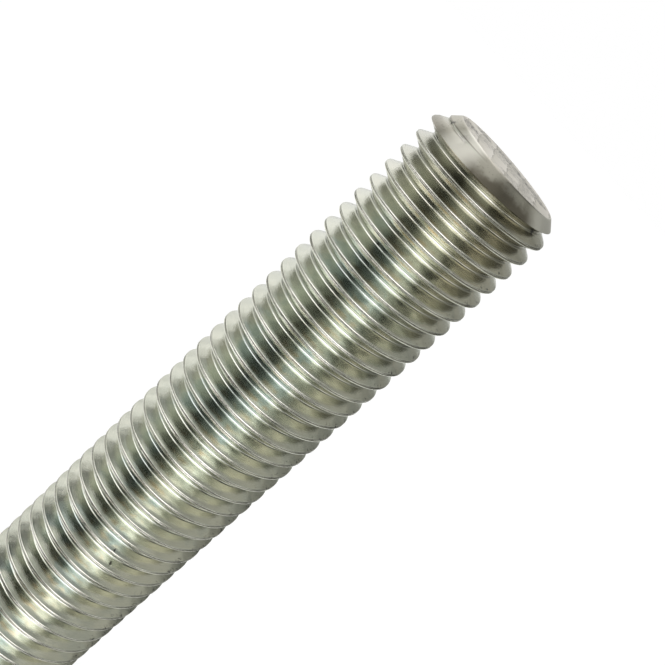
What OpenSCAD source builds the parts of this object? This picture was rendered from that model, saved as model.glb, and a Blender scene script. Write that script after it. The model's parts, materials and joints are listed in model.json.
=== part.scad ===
// Threaded rod: a short length of fully threaded steel bar with a rolled right-hand
// metric thread and a chamfer at each end. It stands upright on its square end. The
// other end was sheared from the bar and leans a little out of square.
// Lengths are in millimetres and angles in degrees.

/* [Rod] */
// Length along the axis
rod_length = 120; // [60:1:140]
// Outside diameter, over the crests of the thread
major_d = 15.75; // [12:0.05:20]
// How much the chamfers take off the radius at the end faces
chamfer = 1.7; // [0.5:0.05:3]
// Slope of the chamfers, measured from the end face
chamfer_angle = 45; // [30:1:60]
// How far the sheared end leans out of square
shear_lean = 2.8; // [0:0.1:5]
// Direction in which it leans down, turning from +X to +Y
lean_direction = 33; // [0:1:359]

/* [Thread] */
// Pitch, the distance from one crest to the next along the axis
pitch = 2; // [1.75:0.25:3]
// Angle between the two flanks of the groove
flank_angle = 60; // [55:1:65]
// Direction, turning from +X to +Y, in which a crest runs into the sheared end
runout_angle = 127; // [0:1:359]
// Straight steps that make up one turn
turn_steps = 24; // [16:4:28]

/* [Hidden] */
zinc = [0.68, 0.69, 0.62];
$fn = 96;

major_r = major_d / 2;
flank_run = tan(flank_angle / 2);

// A metric thread is a row of sharp triangles one pitch wide. The crest is cut off
// where its flat is an eighth of the pitch wide, and the groove of an external thread
// is 17/24 of the triangle's height deep.
triangle_h = pitch / 2 / flank_run;
crest_w = pitch / 8;
groove_depth = triangle_h * 17 / 24;
root_r = major_r - groove_depth;
root_w = pitch - crest_w - 2 * groove_depth * flank_run;
apex_r = major_r + crest_w / 2 / flank_run;
apex_z = (root_w + pitch) / 2;

// One pitch of the thread as [height, radius]: the two edges of the groove's floor,
// and the ridge's sharp apex, which the bar's own surface later cuts down to the crest
section = [[0, root_r], [root_w, root_r], [apex_z, apex_r]];

// How far a shape that is cut back afterwards reaches past the cut
past_cut = pitch / 4;

// The sweep starts below the square end and ends above the sheared one by at least a
// turn, so that its closing faces lie outside the bar
lean_rise = major_r * tan(shear_lean);
runout_z = rod_length - apex_z - pitch * runout_angle / 360;
sweep_z = runout_z - pitch * ceil((runout_z + pitch + past_cut) / pitch);
turns = 1 + ceil((rod_length + lean_rise + past_cut - apex_z - sweep_z) / pitch);
rows = turns * turn_steps;

function row_angle(row) = 360 * row / turn_steps;
function row_z(row) = sweep_z + pitch * row / turn_steps;
function sweep_point(row, p) =
    [p[1] * cos(row_angle(row)), p[1] * sin(row_angle(row)), row_z(row) + p[0]];

// Index of a section point in its row. The point after the last is the first one of
// the row a whole turn further on.
function at(row, j) =
    j < len(section) ? len(section) * row + j : len(section) * (row + turn_steps);

function fan(hub, rim) =
    [for (k = [0 : len(rim) - 1]) [hub, rim[k], rim[(k + 1) % len(rim)]]];

module thread_sweep() {
    last = len(section) - 1;
    swept = [for (row = [0 : rows]) for (p = section) sweep_point(row, p)];
    hubs = [[0, 0, sweep_z + pitch / 2], [0, 0, row_z(rows) + apex_z - pitch / 2]];
    sides = [
        for (j = [0 : last])
            for (row = [0 : rows - 1 - (j == last ? turn_steps : 0)])
                [at(row, j), at(row, j + 1), at(row + 1, j + 1), at(row + 1, j)]
    ];
    low_rim = [at(0, 2), at(0, 1), for (row = [0 : turn_steps]) at(row, 0)];
    high_rim = [at(rows, 0), at(rows, 1), for (row = [0 : turn_steps]) at(rows - row, 2)];
    polyhedron(
        points = concat(swept, hubs),
        faces = concat(sides, fan(len(swept), low_rim), fan(len(swept) + 1, high_rim))
    );
}

// The bar before threading: a plain cylinder with a chamfer at each end. At the
// sheared end the chamfer's cone runs on past the highest corner of the cut.
module chamfered_bar() {
    chamfer_h = chamfer * tan(chamfer_angle);
    cone_rise = lean_rise + past_cut;
    difference() {
        rotate_extrude()
            polygon([
                [0, 0],
                [major_r - chamfer, 0],
                [major_r, chamfer_h],
                [major_r, rod_length - chamfer_h],
                [major_r - chamfer - cone_rise / tan(chamfer_angle), rod_length + cone_rise],
                [0, rod_length + cone_rise]
            ]);
        translate([0, 0, rod_length])
            rotate([0, shear_lean, lean_direction])
                cylinder(h = major_d, r = major_d);
    }
}

module threaded_rod() {
    color(zinc)
        intersection() {
            thread_sweep();
            chamfered_bar();
        }
}

threaded_rod();
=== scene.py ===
import json
import math

import bpy
import numpy as np
from mathutils import Matrix, Vector


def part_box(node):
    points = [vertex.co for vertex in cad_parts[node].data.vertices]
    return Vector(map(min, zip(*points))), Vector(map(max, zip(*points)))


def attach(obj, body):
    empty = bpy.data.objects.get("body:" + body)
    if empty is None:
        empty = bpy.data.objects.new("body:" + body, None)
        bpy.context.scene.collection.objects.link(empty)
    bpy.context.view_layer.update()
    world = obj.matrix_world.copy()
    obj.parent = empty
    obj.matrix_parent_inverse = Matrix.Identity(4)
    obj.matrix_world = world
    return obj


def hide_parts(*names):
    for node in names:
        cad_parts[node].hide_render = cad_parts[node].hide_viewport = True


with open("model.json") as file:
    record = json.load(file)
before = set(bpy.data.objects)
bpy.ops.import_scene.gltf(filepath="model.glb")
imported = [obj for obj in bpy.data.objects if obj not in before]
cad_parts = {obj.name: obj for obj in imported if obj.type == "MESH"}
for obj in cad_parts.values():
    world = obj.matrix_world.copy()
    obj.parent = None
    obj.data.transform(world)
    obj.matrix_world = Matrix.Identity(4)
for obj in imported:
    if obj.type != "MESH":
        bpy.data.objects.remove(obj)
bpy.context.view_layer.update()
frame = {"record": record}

mounts = {mount["name"]: mount for mount in frame["record"]["mounts"]}
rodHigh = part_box("threaded_rod")[1]
endCentre = Vector(mounts["sheared_end"]["pos_m"])
endNormal = Vector(mounts["sheared_end"]["axis"]).normalized()

# what a user would change on the rod, in metres and degrees
rod = {
    "majorRadius": rodHigh.x,
    "length": endCentre.z,
    "pitch": 0.002,
    "crestWidth": 0.00031,
    "flankAngle": 30.0,       # from square across the rod
    "grooveDepth": 0.00119,
    "lipRadius": 0.00013,     # rounding of the crest's two lips
    "seamDepth": 0.00005,     # of the seam that thread rolling leaves between the lips
    "seamWander": 0.000018,
    "seamSection": ((0, 1), (0.4, 0.8), (0.75, 0.3)),              # way to a lip, share of the seam
    "wanderWaves": ((2.3, 0, 1), (5.1, 1, 1), (0.37, 2, 0.7)),     # rate, phase and size
    "depthWaves": ((1.7, 4, 0.25), (7.3, 0, 0.2), (0.53, 0, 0.2)),
    "runoutAngle": 127.0,     # from +X, where a crest meets the sheared end
    "spareTurns": 1.5,        # of thread that is swept past both ends, at least
    "chamfer": 0.0017,        # off the radius at both end faces, at 45 degrees
    "drumWidth": 1.05,        # of the drum that cuts the chamfers, in majorRadii
    "edgeRound": 0.00018,     # from the rim of an end face to both ends of its rounding
    "sharpAngle": 32.0,       # between two faces, from which their edge is shaded sharp
    "edgeSteps": 4,
    "lipSteps": 3,
    "rootSteps": 4,
    "turnSteps": 72,
    "roundSteps": 256,        # round the chamfers and end faces
}
rod["endRadius"] = rod["majorRadius"] - rod["chamfer"]


# Half a pitch from the crest's middle to the groove's middle, then its mirror image: the seam, an
# arc that turns from the lip's top onto the flank, the straight flank, and an arc in the groove
# that touches the flank and the groove's deepest line. Gives height, radius and seam share.
def threadSection(size):
    slope = math.radians(size["flankAngle"])
    turn = math.pi / 2 - slope
    half = size["pitch"] / 2
    lipStart = size["crestWidth"] / 2 - size["lipRadius"] * math.tan(turn / 2)
    lip = np.linspace(0, turn, size["lipSteps"] + 1)
    lipHeight = lipStart + size["lipRadius"] * np.sin(lip)
    lipDepth = size["lipRadius"] * (1 - np.cos(lip))
    # the sharp groove's apex lies this deep, and an arc of rootRadius in it ends at grooveDepth
    apexDepth = (half - size["crestWidth"] / 2) / math.tan(slope)
    rootRadius = (apexDepth - size["grooveDepth"]) / (1 / math.sin(slope) - 1)
    root = np.linspace(turn, 0, size["rootSteps"] + 1)
    rootHeight = half - rootRadius * np.sin(root)
    rootDepth = size["grooveDepth"] - rootRadius * (1 - np.cos(root))
    seamWay, seamShare = np.array(size["seamSection"]).T
    height = np.concatenate([seamWay * lipStart, lipHeight, rootHeight])
    depth = np.concatenate([np.zeros(len(seamWay)), lipDepth, rootDepth])
    seam = np.concatenate([seamShare, np.zeros(len(lip) + len(root))])
    height = np.concatenate([height, size["pitch"] - height[-2:0:-1]])
    depth = np.concatenate([depth, depth[-2:0:-1]])
    seam = np.concatenate([seam, seam[-2:0:-1]])
    return height, size["majorRadius"] - depth, seam


# A sum of sines of the angle turned, each with its own rate, phase and size.
def waves(turned, terms):
    return sum(size * np.sin(rate * turned + phase) for rate, phase, size in terms)


# The section carried up a helix: row i stands at angle 2 pi i / turnSteps and pitch i / turnSteps
# higher, and its last point joins the first point of the row a whole turn on. The seam wanders and
# deepens along the crest by sums of sines, and from half its depth up it wanders in full. Both ends
# are closed by a fan to the axis, and the sweep reaches past both ends of the rod.
def sweptThread(size):
    height, radius, seam = threadSection(size)
    columns, steps, pitch = len(height), size["turnSteps"], size["pitch"]
    runout = size["length"] - pitch * size["runoutAngle"] / 360
    start = runout - pitch * math.ceil(runout / pitch + size["spareTurns"])
    turns = math.ceil((size["length"] - start) / pitch + size["spareTurns"])
    rows = turns * steps
    row = np.arange(rows + 1)
    angle = 2 * np.pi * row / steps
    # past the groove's middle the section belongs to the crest of the turn above
    turned = angle[:, None] + np.where(np.arange(columns) > columns / 2, 2 * np.pi, 0)
    radius = radius - size["seamDepth"] * seam * (1 + waves(turned, size["depthWaves"]))
    wander = size["seamWander"] * np.minimum(seam * 2, 1) * waves(turned, size["wanderWaves"])
    z = start + pitch * row[:, None] / steps + height + wander
    points = np.stack([np.cos(angle)[:, None] * radius, np.sin(angle)[:, None] * radius, z], -1)
    hubs = [[0, 0, start + pitch / 2], [0, 0, z[-1, -1] - pitch / 2]]
    points = np.concatenate([points.reshape(-1, 3), hubs])
    # numbers of the points, with -1 where there is no row a turn on
    at = row[:, None] * columns + np.arange(columns)
    at = np.column_stack([at, np.append(at[steps:, 0], np.full(steps, -1))])
    quads = np.stack([at[:-1, :-1], at[1:, :-1], at[1:, 1:], at[:-1, 1:]], -1).reshape(-1, 4)
    quads = quads[(quads >= 0).all(1)]
    lowRim = np.concatenate([at[:steps + 1, 0], at[0, columns - 1:0:-1]])
    highRim = np.concatenate([at[rows - steps:, columns - 1], at[rows, columns - 2::-1]])
    low = np.stack([np.full(len(lowRim), len(points) - 2), np.roll(lowRim, -1), lowRim], -1)
    high = np.stack([np.full(len(highRim), len(points) - 1), highRim, np.roll(highRim, -1)], -1)
    return points, quads, np.concatenate([low, high])


# A drum wider than the rod with a 45 degree cone at both ends. The upper cone meets the leaning end
# z = length - fall(angle) radius in a rim where radius = endRadius / (1 - fall(angle)), and each rim
# is rounded by the curve (1 - t)^2 onCone + 2 t (1 - t) rim + t^2 onFace.
def chamferedEnds(size):
    steps, length, rounding = size["roundSteps"], size["length"], size["edgeRound"]
    angle = 2 * np.pi * np.arange(steps) / steps
    fall = (endNormal.x * np.cos(angle) + endNormal.y * np.sin(angle)) / endNormal.z
    wide = size["majorRadius"] * size["drumWidth"]
    reach = wide - size["endRadius"]
    rim = size["endRadius"] / (1 - fall)
    share = np.linspace(0, 1, size["edgeSteps"] + 1)[:, None]
    coneShare, faceShare = (1 - share) ** 2 * rounding, share ** 2 * rounding
    lowRadius = size["endRadius"] + (coneShare - faceShare) * np.ones(steps)
    lowZ = coneShare * np.ones(steps)
    highRadius = rim + coneShare - faceShare
    highZ = length - rim * fall - coneShare + faceShare * fall
    radius = np.concatenate([lowRadius[::-1], np.full((2, steps), wide), highRadius])
    z = np.concatenate([
        lowZ[::-1], np.full((1, steps), reach), np.full((1, steps), length - reach), highZ])
    levels = len(radius)
    rings = np.stack([radius * np.cos(angle), radius * np.sin(angle), z], -1).reshape(-1, 3)
    points = np.concatenate([rings, [[0, 0, 0], [0, 0, length]]])
    here = np.arange(steps)
    after = np.roll(here, -1)
    quads = np.stack([here, after, after + steps, here + steps], -1)
    quads = (quads + steps * np.arange(levels - 1)[:, None, None]).reshape(-1, 4)
    low = np.stack([np.full(steps, levels * steps), after, here], -1)
    top = (levels - 1) * steps
    high = np.stack([np.full(steps, levels * steps + 1), here + top, after + top], -1)
    return points, quads, np.concatenate([low, high])


def meshObject(name, points, quads, triangles):
    mesh = bpy.data.meshes.new(name)
    mesh.from_pydata(points.tolist(), [], quads.tolist() + triangles.tolist())
    mesh.polygons.foreach_set("use_smooth", np.ones(len(mesh.polygons), bool))
    mesh.update()
    piece = bpy.data.objects.new(name, mesh)
    bpy.context.scene.collection.objects.link(piece)
    return piece


rodPiece = meshObject("threadedRod", *sweptThread(rod))
drum = meshObject("chamferDrum", *chamferedEnds(rod))
cut = rodPiece.modifiers.new("ends", "BOOLEAN")
cut.operation = "INTERSECT"
cut.solver = "MANIFOLD"
cut.object = drum
bpy.context.view_layer.update()
finished = bpy.data.meshes.new_from_object(rodPiece.evaluated_get(bpy.context.evaluated_depsgraph_get()))
rodPiece.modifiers.clear()
rodPiece.data = finished
bpy.data.objects.remove(drum)
finished.set_sharp_from_angle(angle=math.radians(rod["sharpAngle"]))
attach(rodPiece, "root")
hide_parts("threaded_rod")
print("rod:", sum(len(face.vertices) - 2 for face in finished.polygons), "triangles")


# A socket that adds its own Math nodes when it is used in a sum.
class Value:
    def __init__(self, nodes, socket):
        self.nodes, self.socket = nodes, socket

    def join(self, operation, *terms):
        return self.nodes.add("Math", {"operation": operation}, dict(enumerate(terms)))

    def __add__(self, other): return self.join("ADD", self, other)
    def __radd__(self, other): return self.join("ADD", other, self)
    def __sub__(self, other): return self.join("SUBTRACT", self, other)
    def __rsub__(self, other): return self.join("SUBTRACT", other, self)
    def __mul__(self, other): return self.join("MULTIPLY", self, other)
    def __rmul__(self, other): return self.join("MULTIPLY", other, self)
    def __truediv__(self, other): return self.join("DIVIDE", self, other)
    def __abs__(self): return self.join("ABSOLUTE", self)


# The nodes of one material or world.
class NodeTree:
    def __init__(self, owner):
        owner.use_nodes = True
        self.tree = owner.node_tree
        self.tree.nodes.clear()

    # settings go on the node first, with a ramp's stops among them, then values or links go in
    def add(self, kind, settings=None, inputs=None, output=0):
        made = self.tree.nodes.new("ShaderNode" + kind)
        for key, value in (settings or {}).items():
            if key == "stops":
                self.setStops(made.color_ramp, value)
            else:
                setattr(made, key, value)
        for key, value in (inputs or {}).items():
            if isinstance(value, Value):
                self.tree.links.new(value.socket, made.inputs[key])
            else:
                made.inputs[key].default_value = value
        return None if output is None else Value(self, made.outputs[output])

    def setStops(self, ramp, stops):
        ramp.elements[0].position = stops[0][0]
        ramp.elements[1].position = stops[-1][0]
        for position, level in stops[1:-1]:
            ramp.elements.new(position)
        for element, (position, level) in zip(ramp.elements, stops):
            element.color = (level, level, level, 1)

    def split(self, vector):
        parts = self.add("SeparateXYZ", None, {0: vector})
        return [Value(self, socket) for socket in parts.socket.node.outputs]

    # a smooth step from 0 where the value is none to 1 where it is full, whichever of them is larger
    def rise(self, value, none, full):
        return self.add("MapRange", {"interpolation_type": "SMOOTHSTEP"}, {0: value, 1: none, 2: full})

    def noise(self, vector, scale, detail, roughness, **more):
        settings = {"noise_dimensions": "4D"} if "W" in more else None
        return self.add("TexNoise", settings,
                        {"Vector": vector, "Scale": scale, "Detail": detail, "Roughness": roughness, **more})

    def blend(self, share, first, second, how="MIX"):
        settings = {"data_type": "RGBA", "blend_type": how}
        return self.add("Mix", settings, {0: share, 6: first, 7: second}, output=2)


# finish of the rod with its painted highlights and shade, in metres and in degrees from +X
plating = {
    "colours": {
        "thread": (0.70, 0.735, 0.625, 1),
        "olive": (0.70, 0.69, 0.565, 1),
        "tan": (0.70, 0.575, 0.385, 1),
        "bronze": (0.69, 0.655, 0.515, 1),
        "teal": (0.47, 0.565, 0.54, 1),
        "pale": (0.74, 0.725, 0.635, 1),
        "fleck": (0.30, 0.335, 0.29, 1),
        "lip": (0.785, 0.79, 0.69, 1),
        "seam": (0.56, 0.54, 0.46, 1),
        "seamPit": (0.20, 0.20, 0.17, 1),
        "paintedEndShade": (0, 0, 0, 1),
        "chamfer": (0.53, 0.507, 0.43, 1),
        "paintedChamferHighlight": (0.86, 0.835, 0.75, 1),
        "smudge": (0.20, 0.18, 0.14, 1),
        "endFace": (0.72, 0.69, 0.62, 1),
        "shearLine": (0.30, 0.285, 0.245, 1),
        "pit": (0.10, 0.095, 0.085, 1),
    },
    "roughness": {"thread": 0.115, "stria": 0.1, "seam": 0.35, "chamfer": 0.32, "end": 0.5},
    "striaHeight": 0.000003,
    # in striaHeights, and for the chamfer the share of the waves that is worn off
    "heights": {"wave": 30.0, "seam": 3.0, "end": 2.5, "shearLine": 10.0, "chamferWorn": 0.7},
    # scale, detail and roughness
    "noises": {
        "stria": (260.0, 0.0, 0.5),
        "streak": (600.0, 1.0, 0.5),
        "cloud": (210.0, 3.0, 0.55),
        "patch": (85.0, 2.0, 0.5),
        "fine": (1100.0, 2.0, 0.6),
        "mottle": (3600.0, 3.0, 0.65),
        "speck": (6500.0, 2.0, 0.6),
        "wave": (480.0, 1.0, 0.5),
    },
    "striaAcross": 9.0,                      # how fast they change across the thread, in a pitch
    "streakAcross": 11.0,
    # middle of a side, and the cosine of the angle away from it where a finish or painted light starts and
    # is full
    "sides": {
        "pale": (-165.0, 0.86, 0.95),        # painted sheen on this side, also without teal
        "bronze": (-32.0, 0.68, 0.94),       # the thinner plating
        "tan": (-97.0, 0.9, 0.99),           # painted brown shade in a strip under the crests, on the side facing the camera
        "dirt": (-14.0, 0.93, 0.98),         # a strip on the crests
        "smudge": (-68.0, 0.92, 1.36),       # on the chamfers
        "bright": (-8.0, 0.72, 0.92),        # painted highlight on the upper chamfer
        # a painted highlight patch on the upper chamfer
        "paintedHighlightPatch": (-121.0, 0.935, 1.0),
        "paintedShadeUnderChamfer": (-118.0, 0.6, 0.95),        # painted shade under the upper chamfer
    },
    # where a finish or painted shade starts and where it is full
    "ranges": {
        "crest": (0.00012, 0.00006),         # depth under the crests
        "seam": (0.00008, 0.00003),          # from the crest's middle
        "underside": (0.70, 0.80),           # up from the crest's middle, in pitches
        "chamfer": (0.00045, 0.000006),      # depth under the cone
        "endFace": (0.000018, 0.000006),     # depth under the face
        "paintedShadeUnderChamfer": (0.0016, 0.0004),           # depth under the upper cone
        "nearEnd": (0.016, 0.004),           # below the sheared end
        "paintedEndShade": (0.0075, 0.003),
        "dirtDepth": (0.0005, 0.0002),       # under the crests
        "darkRim": (0.4, 1.0),               # out over the chamfer
        "traceLine": (0.035, 0.02),          # from its middle, in pitches
        "shearLine": (0.14, 0.0),            # from its edge, in spacings
        # of the value of a noise
        "olivePatch": (0.5, 0.66),
        "teal": (0.48, 0.60),
        "tanGrain": (0.4, 0.55),
        "fleckStreak": (0.52, 0.66),
        "fleckCloud": (0.4, 0.56),
        "lightStria": (0.55, 0.7),
        "dirtMottle": (0.53, 0.60),
        "dirtGrain": (0.49, 0.57),
        "seamPit": (0.50, 0.58),
        "darkMottle": (0.56, 0.66),
        "lineGrain": (0.40, 0.50),
        "lineMottle": (0.3, 0.5),
        "worn": (0.5, 0.6),
        "wornPit": (0.51, 0.57),
    },
    # how much of a finish or painted light shows where it is full
    "shares": {
        "oliveAtEnd": 0.8, "olivePatch": 0.3, "teal": 0.62, "pale": 0.5, "bronze": 0.6,
        "bronzeAtEnd": 0.4, "tan": 0.85, "fleck": 0.55, "stria": 0.3, "lip": 0.8, "paintedEndShade": 0.2,
        "seam": 0.85, "darkMottle": 0.35, "darkRim": 0.5, "paintedShadeUnderChamfer": 0.7, "band": 0.8,
        "shearLine": 0.8, "wornCloud": 0.5, "worn": 0.5, "nick": 0.9,
    },
    # how far a noise, the way out over the chamfer or a shear line moves the border of a finish or painted
    # highlight
    "ragged": {
        "bronze": 0.4, "tan": 0.2, "smudgeCloud": 0.9, "smudgeGrain": 0.4, "smudgeOut": 0.5,
        "paintedHighlightPatch": 0.08, "band": 0.9, "wornLine": 0.12, "nick": 2.5,
    },
    "traceFade": (-96.0, -128.0),
    "traceLines": [                          # painted highlight and shade lines: middle, in pitches above the crest, colour and share
        (0.555, "smudge", 0.6), (0.50, "lip", 0.8)],
    "shearLineSpacing": 0.0019,
    "shearLineStart": 0.0003,
    "shearLineSlant": 0.05,
    "spotCore": 0.4,                         # of the width, in which a nick or pit patch is full
    "nicks": [                               # angle, distance below the sheared end, width
        (-113.0, 0.01225, 0.00022), (-71.0, 0.0546, 0.0002), (-77.0, 0.05285, 0.00016),
        (-154.0, 0.0005, 0.00035), (-27.0, 0.0018, 0.0005)],
    "pitPatches": [                          # x and y on the sheared face, width
        (-0.0053, -0.0022, 0.0014), (-0.0048, -0.0006, 0.0017), (-0.0034, 0.0030, 0.0015),
        (-0.0006, 0.0038, 0.0018), (0.0014, 0.0034, 0.0016), (0.0032, 0.0026, 0.0016),
        (0.0047, 0.0014, 0.0012)],
}


def zincPlate():
    material = bpy.data.materials.new("zincPlate")
    nodes = NodeTree(material)
    colours, shares, ragged = plating["colours"], plating["shares"], plating["ragged"]
    place = nodes.add("TexCoord", output="Object")
    x, y, z = nodes.split(place)
    angle = y.join("ARCTAN2", y, x)
    radius = x.join("SQRT", x * x + y * y)
    belowEnd = rod["length"] - z

    def within(value, name):
        return nodes.rise(value, *plating["ranges"][name])

    def under(level, value, name):
        return nodes.rise(value, *[level - deep for deep in plating["ranges"][name]])

    # what comes after the name moves the side's border
    def side(name, *moved):
        middle, none, full = plating["sides"][name]
        nearness = angle.join("COSINE", angle - math.radians(middle))
        return nodes.rise(sum(moved, nearness), none, full)

    def spot(across, along, width, *moved):
        away = across.join("SQRT", across * across + along * along)
        return nodes.rise(sum(moved, away), width, width * plating["spotCore"])

    # where a point lies on the thread: 0 on the crest's middle, rising to 1 a pitch higher
    turn = (z - rod["length"]) / rod["pitch"] - angle / (2 * math.pi) + rod["runoutAngle"] / 360
    phase = turn.join("FRACT", turn)
    fromCrest = (0.5 - abs(phase - 0.5)) * rod["pitch"]
    depth = rod["majorRadius"] - radius
    onCrest = within(depth, "crest")
    seam = within(fromCrest, "seam") * onCrest
    lip = onCrest * (1 - seam)
    underside = within(phase, "underside")

    # the two cones, which the thread's finish runs into softly, and the end faces
    upperLevel = rod["length"] + rod["endRadius"]
    upperCone = under(upperLevel, radius + z, "chamfer")
    lowerCone = under(rod["endRadius"], radius - z, "chamfer")
    cone = upperCone.join("MAXIMUM", upperCone, lowerCone)
    alongEnd = x * endNormal.x + y * endNormal.y + z * endNormal.z
    shearedFace = under(endCentre.dot(endNormal), alongEnd, "endFace")
    squareFace = under(0, 0 - z, "endFace")
    face = shearedFace.join("MAXIMUM", shearedFace, squareFace)

    # stria and streak are drawn out along the thread and fine across it
    noises = plating["noises"]
    stria = nodes.noise(place, *noises["stria"], W=phase * plating["striaAcross"])
    streak = nodes.noise(place, *noises["streak"], W=phase * plating["streakAcross"])
    cloud, patch, fine, mottle, speck, wave = [
        nodes.noise(place, *noises[name]) for name in ("cloud", "patch", "fine", "mottle", "speck", "wave")]
    # how far these lie from their mean
    striaOff, cloudOff, fineOff, mottleOff = [noise - 0.5 for noise in (stria, cloud, fine, mottle)]

    # green grey plating, olive towards the sheared end and in patches, with clouds of teal
    nearEnd = within(belowEnd, "nearEnd")
    olive = nearEnd * shares["oliveAtEnd"] + within(patch, "olivePatch") * shares["olivePatch"]
    colour = nodes.blend(olive, colours["thread"], colours["olive"])
    # painted sheen: the thread lighter on the side round -165 degrees
    pale = side("pale")
    teal = within(cloud, "teal") * shares["teal"] * (1 - nearEnd) * (1 - pale)
    colour = nodes.blend(teal, colour, colours["teal"])
    colour = nodes.blend(pale * shares["pale"], colour, colours["pale"])
    bronze = side("bronze", cloudOff * ragged["bronze"])
    bronze = bronze * (shares["bronze"] + nearEnd * shares["bronzeAtEnd"])
    colour = nodes.blend(bronze, colour, colours["bronze"])
    # painted brown shade under the crests on the side that faces the camera
    paintedTanShade = underside * side("tan", cloudOff * ragged["tan"]) * within(fine, "tanGrain")
    colour = nodes.blend(paintedTanShade * shares["tan"], colour, colours["tan"])

    # flecks and light strias along the thread, bright lips, dirt, painted shade near the sheared end, and
    # the pitted seam
    flecks = within(streak, "fleckStreak") * within(cloud, "fleckCloud")
    colour = nodes.blend(flecks * shares["fleck"], colour, colours["fleck"])
    colour = nodes.blend(within(stria, "lightStria") * shares["stria"], colour, colours["lip"])
    colour = nodes.blend(lip * shares["lip"], colour, colours["lip"])
    dirt = side("dirt") * within(mottle, "dirtMottle") * within(fine, "dirtGrain")
    colour = nodes.blend(dirt * within(depth, "dirtDepth"), colour, colours["pit"])
    # painted shade: the thread darker by a fifth near the sheared end, fading out 3 to 7.5 mm below it
    colour = nodes.blend(within(belowEnd, "paintedEndShade") * shares["paintedEndShade"], colour, colours["paintedEndShade"])
    seamColour = nodes.blend(within(speck, "seamPit"), colours["seam"], colours["seamPit"])
    colour = nodes.blend(seam * shares["seam"], colour, seamColour)

    # the chamfers, darker towards the outside, with a smudge and painted highlights on the upper one
    outward = nodes.rise(radius, rod["endRadius"], rod["majorRadius"])
    smudge = side("smudge", cloudOff * ragged["smudgeCloud"], fineOff * ragged["smudgeGrain"],
                  outward * ragged["smudgeOut"])
    coneColour = nodes.blend(smudge, colours["chamfer"], colours["smudge"])
    # painted highlights on the upper chamfer: a broad one and a patch
    paintedHighlightPatch = side("paintedHighlightPatch", cloudOff * ragged["paintedHighlightPatch"])
    bright = paintedHighlightPatch.join("MAXIMUM", side("bright"), paintedHighlightPatch)
    darker = within(mottle, "darkMottle") * shares["darkMottle"]
    darker = darker + within(outward, "darkRim") * shares["darkRim"]
    coneColour = nodes.blend(darker * (1 - bright), coneColour, colours["smudge"])
    coneColour = nodes.blend(bright * upperCone, coneColour, colours["paintedChamferHighlight"])

    # the groove's last shallow trace on the upper chamfer, painted as a highlight line under a line of
    # painted shade
    trace = nodes.rise(angle, *[math.radians(end) for end in plating["traceFade"]])
    for middle, name, share in plating["traceLines"]:
        traceLine = within(abs(phase - middle), "traceLine") * trace
        coneColour = nodes.blend(traceLine * upperCone * share, coneColour, colours[name])

    # painted shade, in the smudge colour, on the flank just under the upper chamfer
    paintedShadeUnderChamfer = under(upperLevel, radius + z, "paintedShadeUnderChamfer") * side("paintedShadeUnderChamfer") * shares["paintedShadeUnderChamfer"]
    colour = nodes.blend(paintedShadeUnderChamfer, colour, colours["smudge"])
    colour = nodes.blend(cone, colour, coneColour)

    # broken shear lines across the end faces, worn and pitted places, and nicks on the thread
    across = (x + y * plating["shearLineSlant"] - plating["shearLineStart"]) / plating["shearLineSpacing"]
    band = across + cloudOff * ragged["band"]
    band = band.join("FRACT", band)
    line = within(band, "shearLine") * within(fine, "lineGrain")
    faceColour = nodes.blend((1 - band) * shares["band"], colours["endFace"], colours["chamfer"])
    lined = line * within(mottle, "lineMottle") * shares["shearLine"]
    faceColour = nodes.blend(lined, faceColour, colours["shearLine"])
    worn = within(cloud + line * ragged["wornLine"], "worn") * shares["wornCloud"]
    for spotX, spotY, width in plating["pitPatches"]:
        worn = worn.join("MAXIMUM", worn, spot(x - spotX, y - spotY, width) * shearedFace)
    faceColour = nodes.blend(worn * shares["worn"], faceColour, colours["shearLine"])
    faceColour = nodes.blend(within(mottle, "wornPit") * worn, faceColour, colours["pit"])
    colour = nodes.blend(face, colour, faceColour)
    for turned, below, width in plating["nicks"]:
        around = (angle - math.radians(turned)) * rod["majorRadius"]
        nick = spot(around, z - (rod["length"] - below), width, mottleOff * width * ragged["nick"])
        colour = nodes.blend(nick * shares["nick"], colour, colours["pit"])

    rough = plating["roughness"]["thread"] + striaOff * plating["roughness"]["stria"]
    for share, name in ((seam, "seam"), (cone, "chamfer"), (face, "end")):
        rough = rough + share * (plating["roughness"][name] - rough)

    heights = plating["heights"]
    relief = (stria + wave * heights["wave"]) * (1 - face) * (1 - cone * heights["chamferWorn"])
    relief = relief + speck * (seam * heights["seam"] + face * heights["end"] + cone)
    relief = relief - line * face * heights["shearLine"]
    bump = nodes.add("Bump", None, {"Strength": 1.0, "Distance": plating["striaHeight"], "Height": relief})
    shader = nodes.add("BsdfPrincipled", None, {
        "Base Color": colour, "Metallic": 1.0, "Roughness": rough, "Normal": bump})
    nodes.add("OutputMaterial", None, {"Surface": shader}, output=None)
    return material


finished.materials.clear()
finished.materials.append(zincPlate())
print("plating: done")


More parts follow.
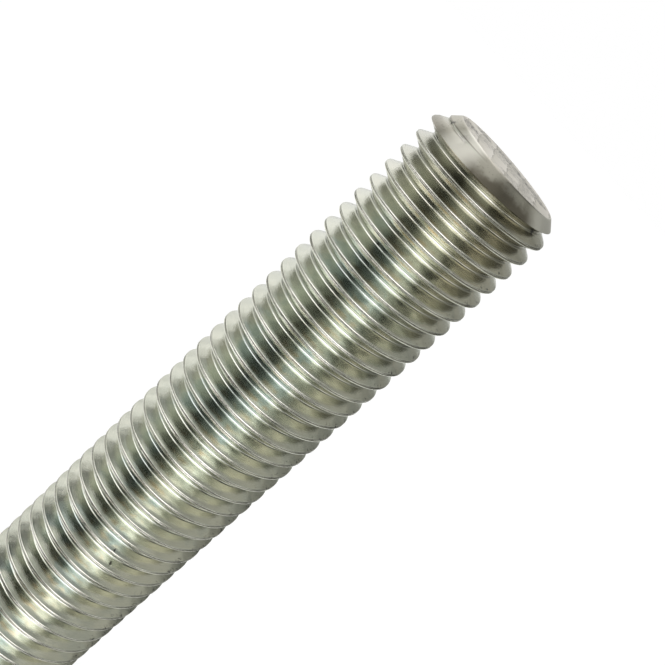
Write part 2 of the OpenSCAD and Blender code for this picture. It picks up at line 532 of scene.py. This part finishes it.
# Brightness of the white and grey panels that the metal mirrors, as (degrees, level). Five belts one
# above the other run round the scene, from behind over -X, the camera's side at 0 and +X to behind
# again, and the ceiling's two halves run from -X over the zenith at 0 to +X. A border is the height
# of the direction, from -1 to 1, over which one belt turns into the next.
studio = {
    "floorSize": 3.0,
    "floorColour": (0.85, 0.85, 0.85, 1),
    "floorGlow": 0.3,
    "ambient": 0.85,
    "dimTint": (0.98, 1.0, 0.95, 1),       # of the light from the dim and from the bright panels
    "brightTint": (1.04, 1.0, 1.08, 1),
    "tintLevels": (0.3, 2.2),              # of a dim and of a bright panel
    "borders": {"lowerBelt": (-0.55, -0.45), "underHorizon": (-0.29, -0.21),
                "overHorizon": (-0.03, 0.03), "upperBelt": (0.19, 0.25)},
    "ceilingBorder": (0.41, 0.49),
    "ceilingHalves": (-0.08, 0.08),        # y of the direction, from the front half to the back one
    "ceilingReach": 0.88,                  # x of the direction at the ends of both halves
    "lowBelt": [(-180, 1.16), (-115, 1.14), (-46, 0.03), (-30, 0.07), (0, 0.44), (15, 0.85),
                (46, 0.03), (65, 0.03), (88, 0.86), (180, 1.16)],
    "lowerBelt": [(-180, 1.26), (-135, 1.03), (-110, 0.31), (-92, 0.29), (-77, 0.63), (-64, 0.64),
                  (-41, 0.03), (-31, 0.04), (-22, 0.22), (-14, 0.19), (18, 0.89), (27, 0.71),
                  (38, 0.03), (114, 0.12), (165, 1.26), (180, 1.26)],
    "underHorizon": [(-180, 0.76), (-165, 0.85), (-135, 0.03), (-92, 0.76), (-77, 0.58),
                     (-64, 0.05), (-14, 0.03), (-6, 0.55), (10, 2.16), (18, 2.38), (38, 0.64),
                     (51, 0.49), (65, 1.11), (80, 0.91), (96, 0.29), (137, 0.03), (165, 0.67),
                     (180, 0.76)],
    "overHorizon": [(-180, 0.65), (-165, 0.99), (-135, 0.55), (-64, 0.41), (-52, 0.03), (-31, 0.03),
                    (-22, 0.34), (2, 2.84), (27, 2.52), (38, 0.65), (51, 0.03), (80, 1.0),
                    (114, 0.12), (150, 0.12), (180, 0.65)],
    "upperBelt": [(-180, 1.2), (-110, 0.9), (-92, 2.0), (-41, 1.9), (-31, 0.45), (-22, 0.9),
                  (2, 3.0), (27, 2.74), (38, 0.91), (51, 0.03), (80, 0.03), (100, 0.15), (145, 0.25),
                  (162, 0.4), (174, 1.2), (180, 1.2)],
    "ceilingFront": [(-90, 2.18), (-62, 2.23), (-48, 1.5), (-36, 0.35), (-24, 0.3), (0, 0.57),
                     (24, 0.18), (36, 0.82), (48, 0.25), (62, 0.03), (90, 0.03)],
    "ceilingBack": [(-90, 0.03), (-62, 0.03), (-48, 0.3), (-36, 0.8), (0, 1.49), (12, 0.03),
                    (23, 0.03), (29, 0.42), (34, 0.38), (41, 0.33), (48, 0.48), (90, 0.27)],
}


def raySeen(nodes):
    path = nodes.add("LightPath")
    sees = {socket.name: Value(nodes, socket) for socket in path.socket.node.outputs}
    return sees["Is Camera Ray"], sees["Is Glossy Ray"], sees["Is Transmission Ray"]


def plainFloor():
    half = studio["floorSize"] / 2
    points = np.array([[-half, -half, 0], [half, -half, 0], [half, half, 0], [-half, half, 0]])
    floor = meshObject("floor", points, np.array([[0, 1, 2, 3]]), np.zeros((0, 3), int))
    material = bpy.data.materials.new("paleFloor")
    nodes = NodeTree(material)
    camera, glossy, through = raySeen(nodes)
    seen = camera + glossy + through
    paint = nodes.add("BsdfDiffuse", None, {"Color": studio["floorColour"]})
    glow = nodes.add("Emission", None, {"Color": (1, 1, 1, 1), "Strength": seen * studio["floorGlow"]})
    both = nodes.add("AddShader", None, {0: paint, 1: glow})
    nodes.add("OutputMaterial", None, {"Surface": both}, output=None)
    floor.data.materials.append(material)
    floor.visible_glossy = False


def studioWorld():
    world = bpy.data.worlds.new("studioWorld")
    bpy.context.scene.world = world
    nodes = NodeTree(world)
    camera, glossy, through = raySeen(nodes)
    x, y, z = nodes.split(nodes.add("TexCoord", output="Generated"))

    # a ramp of the panels' levels over a whole number of degrees, with 0 in its middle
    def panels(name, degrees, whole):
        stops = [(stop / whole + 0.5, level) for stop, level in studio[name]]
        return nodes.add("ValToRGB", {"stops": stops}, {0: degrees / whole + 0.5})

    turned = x.join("ARCTAN2", x, 0 - y) * (180 / math.pi)
    across = x.join("ARCSINE", x / studio["ceilingReach"]) * (180 / math.pi)
    belts = panels("lowBelt", turned, 360)
    for name, border in studio["borders"].items():
        belts = nodes.blend(nodes.rise(z, *border), belts, panels(name, turned, 360))
    front, back = panels("ceilingFront", across, 180), panels("ceilingBack", across, 180)
    ceiling = nodes.blend(nodes.rise(y, *studio["ceilingHalves"]), front, back)
    mirrored = nodes.blend(nodes.rise(z, *studio["ceilingBorder"]), belts, ceiling)
    tint = nodes.blend(nodes.rise(mirrored, *studio["tintLevels"]), studio["dimTint"], studio["brightTint"])
    light = nodes.blend(glossy, (1, 1, 1, 1), nodes.blend(1, mirrored, tint, "MULTIPLY"))
    # diffuse rays see the ambient light, all others the full one
    plain = studio["ambient"] + (1 - studio["ambient"]) * (camera + through)
    strength = plain + glossy * (1 - studio["ambient"])
    background = nodes.add("Background", None, {"Color": light, "Strength": strength})
    nodes.add("OutputWorld", None, {"Surface": background}, output=None)


plainFloor()
studioWorld()
print("studio: done")


# Camera, close to the sheared end and rolled so that the upright rod lies across the picture, in
# metres and degrees
view = {
    "aside": 0.000505,
    "inFront": 0.11686,
    "aboveEnd": 0.01587,
    "downTilt": 18.489,
    "roll": 47.271,
    "focalPixels": 1267.6,
    "photoPixels": 665,
    "sensor": 36.0,           # in millimetres
    "clipStart": 0.001,
}


def photoCamera():
    data = bpy.data.cameras.new("photoCamera")
    data.sensor_width = view["sensor"]
    data.lens = view["sensor"] * view["focalPixels"] / view["photoPixels"]
    data.clip_start = view["clipStart"]
    tilt, roll = math.radians(view["downTilt"]), math.radians(view["roll"])
    back = Vector((0, -math.cos(tilt), math.sin(tilt)))
    levelRight = Vector((1, 0, 0))
    levelUp = back.cross(levelRight)
    right = levelRight * math.cos(roll) + levelUp * math.sin(roll)
    up = back.cross(right)
    place = Vector((view["aside"], -view["inFront"], rod["length"] + view["aboveEnd"]))
    camera = bpy.data.objects.new("photoCamera", data)
    camera.matrix_world = Matrix.Translation(place) @ Matrix((right, up, back)).transposed().to_4x4()
    bpy.context.scene.collection.objects.link(camera)
    bpy.context.scene.camera = camera


photoCamera()
bpy.context.scene.view_settings.view_transform = "Standard"
print("camera: done")
